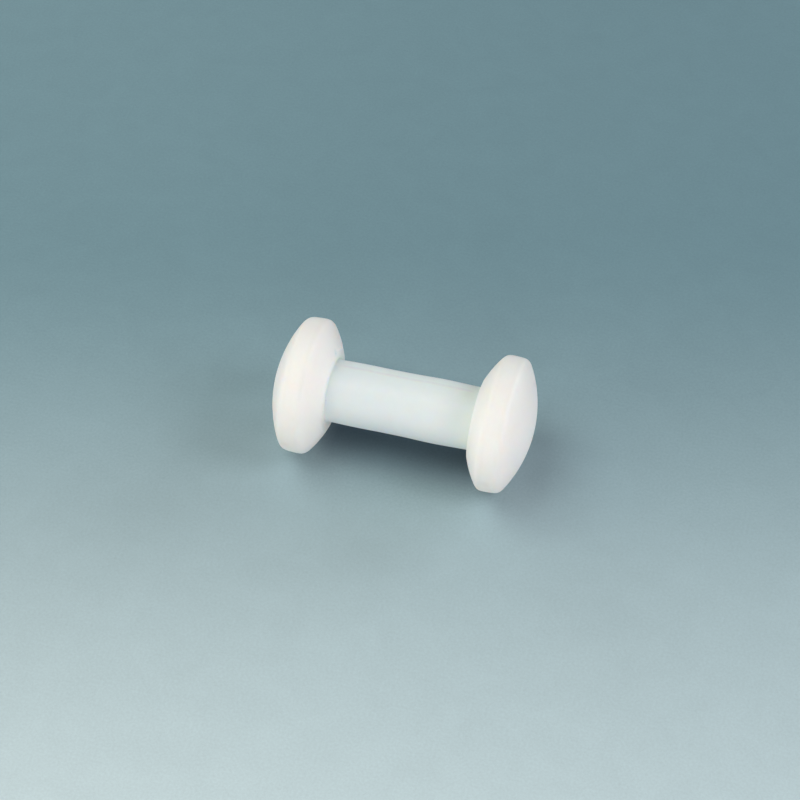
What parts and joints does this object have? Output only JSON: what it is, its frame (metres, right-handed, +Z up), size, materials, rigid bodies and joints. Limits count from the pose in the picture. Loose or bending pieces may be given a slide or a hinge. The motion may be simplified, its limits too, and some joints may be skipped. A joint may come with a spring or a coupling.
{
  "type": "magnetic stir bar",
  "caption": "Dumbbell-shaped magnetic stir bar: round lens-shaped heads on a straight shaft, in one white moulded jacket sealed round a rod magnet.",
  "frame": {"origin": "the bar's centre, on its axis halfway between the heads", "axes": "+X along the bar's axis; +Z up from the surface that both rims lie on"},
  "size_m": [0.0382, 0.02, 0.02],
  "materials": {
    "ptfe": "moulded fluoropolymer, milky cream white, smooth and waxy",
    "magnet": "cast alloy magnet, ground dark grey, never seen"
  },
  "bodies": {
    "root": {"ptfe_jacket": "ptfe", "magnet_core": "magnet"}
  },
  "joints": []
}
